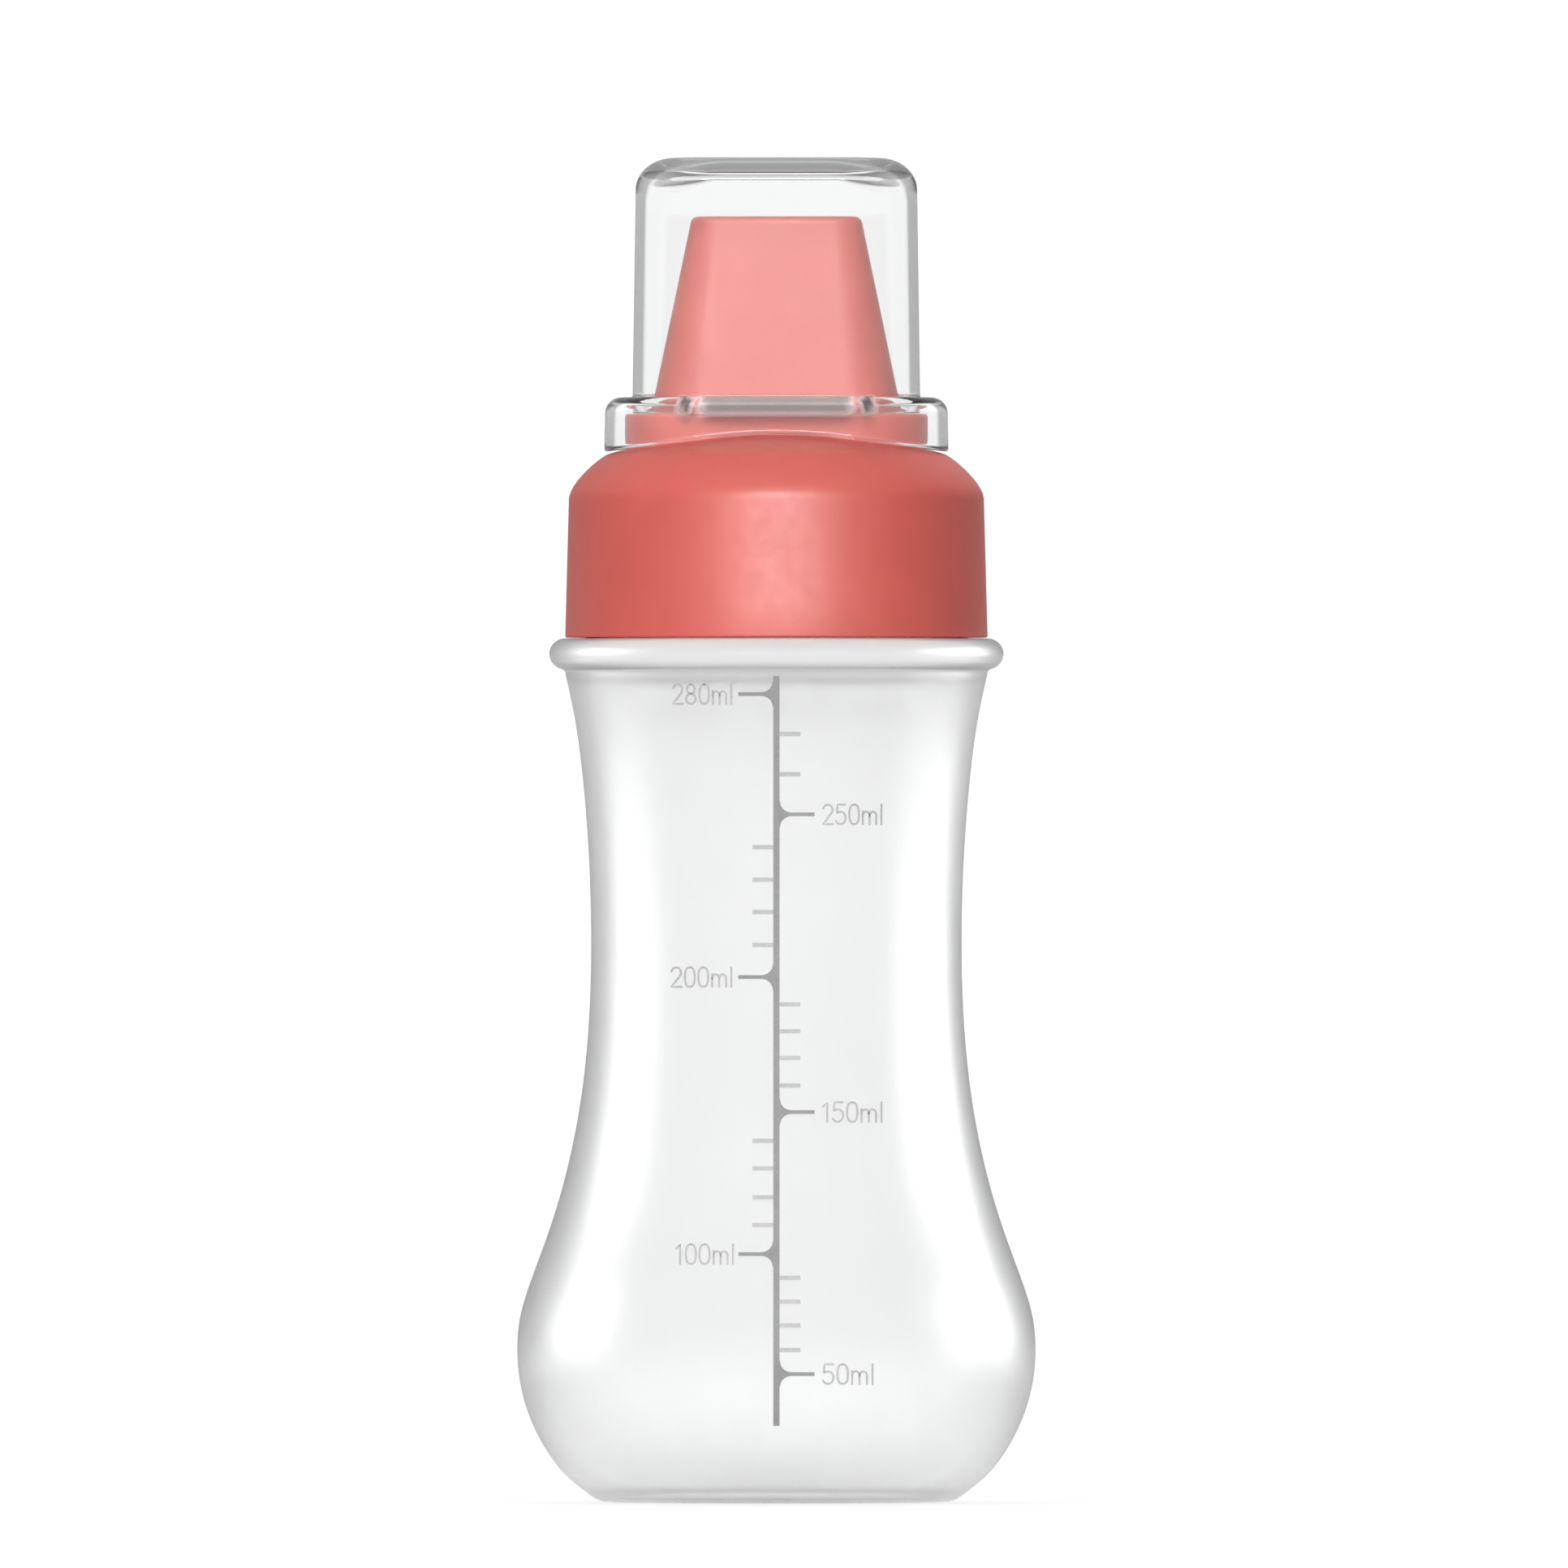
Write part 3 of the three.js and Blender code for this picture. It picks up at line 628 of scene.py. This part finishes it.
def crown(top, rounds, size, steps):
    """Rings of a rounded top edge with one round at the ends and another along the flats."""
    zs = sorted({round(top - rise + rise * math.sin(t), 4) for _, rise in rounds for t in np.linspace(0, np.pi / 2, steps + 1)})

    def fall(k, z):
        run, rise = rounds[k]
        return run * (1 - math.sqrt(max(0.0, 1 - max(0.0, (z - top) / rise + 1) ** 2)))

    return [obround(size(z)[0] - fall(0, z), size(z)[1] - fall(1, z), z) for z in zs]


roof_z = HOOD_TOP - HOOD_ROOF
flat_in = [w - r[0] for w, r in zip(wall_size(roof_z, HOOD_T), HOOD_ROUND_IN)]
rows = [inset(flat_in, (flat_in[1] - 0.02) * k, roof_z) for k in (1.0, 0.65, 0.3)]
rows += crown(roof_z, HOOD_ROUND_IN, lambda z: wall_size(z, HOOD_T), 14)[::-1]
rows += [wall(z, HOOD_T) for z in (roof_z - HOOD_ROUND_IN[0][1] - 0.12, 178, 174, 170, 165, 160, 156, 153.5)]
seat, foot = wall_size(RIM_Z, HOOD_T), wall_size(RIM_Z)
edge = np.linspace(0, np.pi / 2, 5)
rows += [obround(*seat, RIM_Z), obround(*seat, 151.2)]
rows += [inset(seat, -0.2 * (1 - math.cos(t)), HOOD_SEAT + 0.2 - 0.2 * math.sin(t)) for t in edge]
rows += [inset(foot, 0.2 * (1 - math.cos(t)), HOOD_SEAT + 0.2 - 0.2 * math.sin(t)) for t in edge[::-1]]
rows += [inset(foot, -0.25 * (1 - math.cos(t)), SHELF_Z - 0.25 + 0.25 * math.sin(t)) for t in edge]
skirt_in = (SKIRT[0] - HOOD_T - 0.05, SKIRT[1] - HOOD_T - 0.05)
rows += between(inset(foot, -0.25, SHELF_Z), inset(skirt_in, 0.25, SHELF_Z), 4, (False, True))
rows += [inset(skirt_in, 0.25 * (1 - math.sin(t)), SHELF_Z - 0.25 + 0.25 * math.cos(t)) for t in edge[1:]]


def hem(i, up):
    ring = inset(SKIRT, i, 0)
    return lift(ring, dome_z(radius(ring)) + DOME_GAP + up)


rows += between(inset(skirt_in, 0.0, SHELF_Z - 0.25), hem(HOOD_T, 0.45), 5, (False, True))
rows += [hem(HOOD_T - 0.45 * (1 - math.cos(t)), 0.45 - 0.45 * math.sin(t)) for t in np.linspace(0, np.pi / 2, 6)[1:]]
rows += [hem(0.45 * (1 - math.cos(t)), 0.45 - 0.45 * math.sin(t)) for t in np.linspace(np.pi / 2, 0, 6)]
rim = (SKIRT[0] - 0.1, SKIRT[1] - 0.1)
rows += between(hem(0, 0.45), inset(rim, 0, RIM_Z - RIM_ROUND[0][1]), 8, (False, False))
rows += crown(RIM_Z, RIM_ROUND, lambda z: rim, 11)
rows += between(rows[-1], inset(foot, -0.3, RIM_Z), 4, (False, True))
rows += [inset(foot, -0.3 * (1 - math.sin(t)), RIM_Z + 0.3 * (1 - math.cos(t))) for t in np.linspace(0, np.pi / 2, 6)[1:]]
rows += [wall(z) for z in (RIM_Z + 0.42, 153.6, 155, 157, 160, 165, 170, 175, 179, HOOD_TOP - HOOD_ROUND[0][1] - 0.12)]
rows += crown(HOOD_TOP, HOOD_ROUND, wall_size, 18)
flat_out = [w - r[0] for w, r in zip(wall_size(HOOD_TOP), HOOD_ROUND)]
rows += [inset(flat_out, (flat_out[1] - 0.02) * k, HOOD_TOP) for k in (0.35, 0.7, 1.0)]
hood = mesh_object("hood_shell", rows, cap_first=True, cap_last=True, angle=50)
finish_piece(hood, HOOD_MAT, "hood", "dust_hood")
mark = hood.data.attributes.new("outside", "FLOAT", "FACE")
for poly in hood.data.polygons:     # faces that look at the axis are the inside
    c, m = poly.center, poly.normal
    near = max(-0.0094, min(0.0094, c.x))
    inward = (near - c.x) * m.x - c.y * m.y + (0.165 - c.z) * m.z * (0.2 if 0.153 < c.z < 0.18 else 1.0)
    tucked = c.z < 0.15115 and math.hypot(max(abs(c.x) - 0.0094, 0.0), c.y) < 0.0132
    mark.data[poly.index].value = 0.0 if inward > 0 or tucked else 1.0


def ease(v, lo, hi):
    t = np.clip((v - lo) / (hi - lo), 0, 1)
    return t * t * (3 - 2 * t)


co = np.empty(3 * len(hood.data.vertices))
hood.data.vertices.foreach_get("co", co)
hx, hy, hz = co.reshape(-1, 3).T / MM
out_r = np.hypot(np.maximum(abs(hx) - (SKIRT[0] - SKIRT[1]), 0), hy)      # distance from the middle line
grip_and_shade = ease(hz, 149.5, 150.4) * ease(-hz, -152.6, -152.4) * np.maximum(ease(out_r, 13.3, 13.7), ease(hz, 151.4, 151.9) * ease(out_r, 10.2, 10.4))
painted_dark_spot = grip_and_shade * ease(abs(hx), 11.3, 12.0) * (1 - ease(abs(hx), 13.0, 13.9))      # painted shade: dark spot past each end of the strip
grip_and_shade *= 1 - ease(abs(hx), 9.6, 11.3)       # satin strip along each flat of the flange, its grey partly painted shade
# tone is the strip's grey, in part painted shade, and darker at the painted dark spots
for name, values in (("satin", np.maximum(grip_and_shade, painted_dark_spot)), ("tone", 0.22 - 0.15 * painted_dark_spot)):
    hood.data.attributes.new(name, "FLOAT", "POINT").data.foreach_set("value", values.astype(np.float32))

# ---------------------------------------------------------------- printed scale

SCALE = 0.112                   # millimetres per unit of the scale's drawing
AXIS_X, BASE_Y = 956.0, 1850.0  # drawing origin
INK_LIFT, INK_LOW = 0.03, 0.005
STEP = 0.8


def on_wall(u, v, up):
    """Drawing point to the front of the bottle wall, drawn as it is seen from the camera's distance."""
    x0 = (u - AXIS_X) * SCALE - EYE_X
    z0 = (BASE_Y - v) * SCALE - EYE_Z
    y = -30.0
    for _ in range(12):
        near = (EYE_FAR + y) / EYE_FAR
        x, z = EYE_X + x0 * near, EYE_Z + z0 * near
        r = float(body_r(z)) + up
        y = -math.sqrt(max(r * r - x * x, 0.0))
    return (x * MM, y * MM, z * MM)


class Print:
    def __init__(self):
        self.bm = bmesh.new()

    def patch(self, grid):
        """Thin film of ink over a grid of drawing points."""
        top, low = ([[self.bm.verts.new(on_wall(u, v, up)) for u, v in row] for row in grid] for up in (INK_LIFT, INK_LOW))
        for skin in (top, low):
            for a, b in zip(skin, skin[1:]):
                for j in range(len(a) - 1):
                    self.bm.faces.new((a[j], a[j + 1], b[j + 1], b[j]))
        rims = [[row for row in skin[0]] + [row[-1] for row in skin[1:]] + skin[-1][-2::-1] + [row[0] for row in skin[-2:0:-1]] for skin in (top, low)]
        for j in range(len(rims[0])):
            k = (j + 1) % len(rims[0])
            self.bm.faces.new((rims[0][j], rims[0][k], rims[1][k], rims[1][j]))

    def box(self, u0, v0, u1, v1):
        nu = max(1, math.ceil(abs(u1 - u0) * SCALE / STEP))
        nv = max(1, math.ceil(abs(v1 - v0) * SCALE / STEP))
        self.patch([[(u, v) for u in np.linspace(u0, u1, nu + 1)] for v in np.linspace(v0, v1, nv + 1)])

    def stroke(self, points, width):
        """Ribbon with round ends along a polyline."""
        p = np.array(points, float)
        d = np.gradient(p, axis=0)
        d /= np.linalg.norm(d, axis=1)[:, None] + 1e-9
        side = np.stack([-d[:, 1], d[:, 0]], 1) * width / 2
        left, right = list(p - side), list(p + side)
        for k in (0.35, 0.7, 0.95):
            shrink = math.sqrt(1 - k * k)
            left.insert(0, p[0] - d[0] * k * width / 2 - side[0] * shrink)
            right.insert(0, p[0] - d[0] * k * width / 2 + side[0] * shrink)
            left.append(p[-1] + d[-1] * k * width / 2 - side[-1] * shrink)
            right.append(p[-1] + d[-1] * k * width / 2 + side[-1] * shrink)
        self.patch([left, right])

    def done(self, name, mat):
        bmesh.ops.recalc_face_normals(self.bm, faces=self.bm.faces)
        mesh = bpy.data.meshes.new(name)
        self.bm.to_mesh(mesh)
        self.bm.free()
        mesh.shade_smooth()
        mesh.set_sharp_from_angle(angle=math.radians(40))
        obj = bpy.data.objects.new(name, mesh)
        bpy.context.scene.collection.objects.link(obj)
        finish_piece(obj, mat, "bottle", None)
        return obj


def curve(cx, cy, rx, ry, start, stop, steps=14, power=1.0):
    """Part of a rounded oval in glyph units, angles in degrees, up is positive."""
    out = []
    for t in np.radians(np.linspace(start, stop, steps + 1)):
        c, s = math.cos(t), math.sin(t)
        out.append((cx + rx * math.copysign(abs(c) ** power, c), cy + ry * math.copysign(abs(s) ** power, s)))
    return out


# Strokes of each glyph: unit height, advance width last.
GLYPHS = {
    "0": ([curve(0.30, 0.5, 0.27, 0.5, 90, 450, 30, 0.8)], 0.74),
    "1": ([[(0.02, 0.78), (0.12, 0.88), (0.24, 1.0), (0.24, 0.66), (0.24, 0.33), (0.24, 0.0)]], 0.52),
    "2": ([curve(0.29, 0.73, 0.26, 0.27, 165, -28, 16) + [(0.40, 0.45), (0.22, 0.22), (0.03, 0.0), (0.30, 0.0), (0.58, 0.0)]], 0.74),
    "5": ([[(0.53, 1.0), (0.32, 1.0), (0.10, 1.0), (0.085, 0.80), (0.07, 0.58)] + curve(0.27, 0.32, 0.29, 0.32, 128, -150, 20)], 0.74),
    "8": ([curve(0.30, 0.76, 0.215, 0.24, 90, 450, 24), curve(0.30, 0.26, 0.27, 0.26, 90, 450, 26)], 0.76),
    "m": ([[(0.05, 0.0), (0.05, 0.35), (0.05, 0.66)], curve(0.24, 0.42, 0.19, 0.22, 180, 0, 12) + [(0.43, 0.2), (0.43, 0.0)],
           curve(0.62, 0.42, 0.19, 0.22, 180, 0, 12) + [(0.81, 0.2), (0.81, 0.0)]], 1.02),
    "l": ([[(0.08, 0.0), (0.08, 0.5), (0.08, 1.0)]], 0.2),
}
GLYPH_H, GLYPH_W = 24.0, 2.6


def label(sheet, text, left, right, mid):
    width = sum(GLYPHS[c][1] for c in text) - 0.14
    unit = (right - left) / width
    u = left
    for c in text:
        strokes, advance = GLYPHS[c]
        for line in strokes:
            sheet.stroke([(u + x * unit, mid + GLYPH_H * (0.5 - y)) for x, y in line], GLYPH_W)
        u += advance * unit


LONG = [(855.3, -1, "280ml", 828, 900), (1003.5, 1, "250ml", 1013, 1085), (1204.0, -1, "200ml", 826, 900),
        (1370.3, 1, "150ml", 1013, 1085), (1545.3, -1, "100ml", 832, 902), (1693.2, 1, "50ml", 1013, 1074)]
SHORT = [(1, (904.4, 954.1)), (-1, (1044.0, 1084.0, 1123.9, 1164.4)), (1, (1237.6, 1270.8, 1303.7, 1337.7)),
         (-1, (1405.8, 1439.7, 1475.3, 1509.5)), (1, (1574.5, 1603.9, 1633.3, 1663.6))]
LINE_W, TICK_W, SHORT_W, FLARE = 7.7, 4.6, 5.2, 15.0

lines = Print()
lines.box(AXIS_X - LINE_W / 2, 833, AXIS_X + LINE_W / 2, 1757)
for v, side, text, left, right in LONG:
    start = AXIS_X + side * LINE_W / 2
    lines.box(start, v - TICK_W / 2, AXIS_X + side * 47.0, v + TICK_W / 2)
    k = np.linspace(0, 1, 9)
    for updown in (-1, 1):          # hollow flare where the mark meets the line
        lines.patch([[(start + side * FLARE * t, v + updown * TICK_W / 2) for t in k],
                     [(start + side * FLARE * t, v + updown * (TICK_W / 2 + FLARE * (1 - math.sqrt(max(0.0, 1 - (1 - t) ** 2))))) for t in k]])
scale_lines = lines.done("scale_lines", INK_MAT)
numbers = Print()
for side, marks in SHORT:
    for v in marks:
        numbers.box(AXIS_X + side * LINE_W / 2, v - SHORT_W / 2, AXIS_X + side * 29.5, v + SHORT_W / 2)
for v, side, text, left, right in LONG:
    label(numbers, text, left, right, v)
scale_numbers = numbers.done("scale_numbers", FINE_INK_MAT)

# ---------------------------------------------------------------- floor, light, camera

half = 6.0
mesh = bpy.data.meshes.new("floor")
bm = bmesh.new()
bmesh.ops.create_grid(bm, x_segments=24, y_segments=24, size=half)
bm.to_mesh(mesh)
bm.free()
floor = bpy.data.objects.new("floor", mesh)
floor.location = (0, 0, -0.0002)
mesh.materials.append(floor_paper("floor_paper"))
bpy.context.scene.collection.objects.link(floor)

scene = bpy.context.scene
world = bpy.data.worlds.new("studio")
scene.world = world
world.use_nodes = True
n = Nodes(world.node_tree)
ray = n.add("TexCoord").outputs["Generated"]
split = n.add("SeparateXYZ")
n.set(split, "Vector", ray)
ramp = n.add("ValToRGB")            # from the front of the room to the back of it
n.set(ramp, "Fac", n.span(split.outputs["Y"], 0.0, 1.0, -1.0, 1.0))
ramp.color_ramp.interpolation = "EASE"
stops = [(0.0, 0.20), (0.35, 0.20), (0.6, 0.30), (1.0, 0.5)]
while len(ramp.color_ramp.elements) < len(stops):
    ramp.color_ramp.elements.new(0.5)
for element, (pos, value) in zip(ramp.color_ramp.elements, stops):
    element.position = pos
    element.color = (value, value, value, 1)
sky = n.add("Background")
n.set(sky, "Color", n.mix(n.span(split.outputs["Z"], 0.0, 1.0, 0.2, 0.9), ramp.outputs["Color"], (0.75, 0.75, 0.75, 1)))
n.set(sky, "Strength", n.span(split.outputs["X"], 1.15, 0.7, -1.0, 1.0))
plain = n.add("Background")
plain.inputs["Color"].default_value = (1, 1, 1, 1)
plain.inputs["Strength"].default_value = 1.06
pick = n.add("MixShader")
n.set(pick, "Fac", seen_directly(n))
n.tree.links.new(sky.outputs[0], pick.inputs[1])
n.tree.links.new(plain.outputs[0], pick.inputs[2])
out = n.add("OutputWorld")
n.set(out, "Surface", pick.outputs[0])


def softbox(name, place, aim, size, radiance, only, gloss=True, matt=True, through=None, spin=None):
    """Area light of a given brightness that lights only the given pieces."""
    light = bpy.data.lights.new(name, "AREA")
    light.shape = "RECTANGLE"
    light.size, light.size_y = size
    light.energy = radiance * math.pi * size[0] * size[1]
    obj = bpy.data.objects.new(name, light)
    obj.location = place
    if spin is None:
        obj.rotation_euler = (Vector(aim) - Vector(place)).to_track_quat("-Z", "Y").to_euler()
    else:                               # lying face up
        obj.rotation_euler = (math.pi, 0, math.radians(spin))
    obj.visible_camera = False
    obj.visible_glossy = gloss
    obj.visible_transmission = gloss if through is None else through
    obj.visible_diffuse = matt
    scene.collection.objects.link(obj)
    group = bpy.data.collections.new(name + "_lights")
    for piece in only:
        group.objects.link(piece)
    obj.light_linking.receiver_collection = group
    return obj


softbox("key_cap", (-0.2, -1.38, 0.36), (0, 0, 0.13), (1.0, 0.55), 8.0, (cap, gasket), gloss=False)
softbox("fill_back", (0.5, 1.2, 0.75), (0, 0, 0.13), (1.0, 0.8), 5.0, (cap, gasket), gloss=False)
softbox("sheen_cap", (0.03, -1.4, 0.28), (0, 0, 0.13), (1.3, 0.5), 11.5, (cap,), matt=False)
softbox("crease_cap", (0.03, -1.25, 0.84), (0, 0, 0.139), (0.6, 0.12), 100.0, (cap,), matt=False)
softbox("key_spout", (-0.12, -1.15, 1.08), (0, 0, 0.15), (0.85, 0.8), 19.5, (nozzle, hood), gloss=False, through=True)
softbox("fill_front", (0.05, -1.4, 0.10), (0, 0, 0.1), (1.6, 0.6), 12.4, (bottle, scale_lines, scale_numbers), gloss=False)
softbox("bounce_front", (0, -0.55, 0.001), None, (1.4, 0.9), 1.2, (bottle,), gloss=False, spin=0)
for side, back, wide in ((-1, 0.16, 0.7), (1, 0.27, 0.95)):
    hand = "left" if side < 0 else "right"
    softbox("strip_" + hand, (side * 1.0, back, 0.16), (0, 0, 0.1), (wide, 0.8), 5.2, (bottle,), through=False)
    softbox("paper_side_" + hand, (side * 0.42, 0.09, 0.0003), None, (0.5, 0.3), 1.2, (bottle,), matt=False, through=False, spin=0)

cam = bpy.data.cameras.new("camera")
cam.lens, cam.sensor_width, cam.sensor_fit = LENS, 36.0, "HORIZONTAL"
cam.clip_start, cam.clip_end = 0.05, 50.0
camera = bpy.data.objects.new("camera", cam)
camera.location = (EYE_X * MM, -EYE_FAR * MM, EYE_Z * MM)
camera.rotation_euler = (math.pi / 2, 0, 0)
scene.collection.objects.link(camera)
scene.camera = camera

scene.cycles.max_bounces = 32          # light runs far along the clear walls
scene.cycles.glossy_bounces = 24
scene.cycles.transmission_bounces = 32
scene.view_settings.view_transform = "Standard"
scene.view_settings.look = "None"
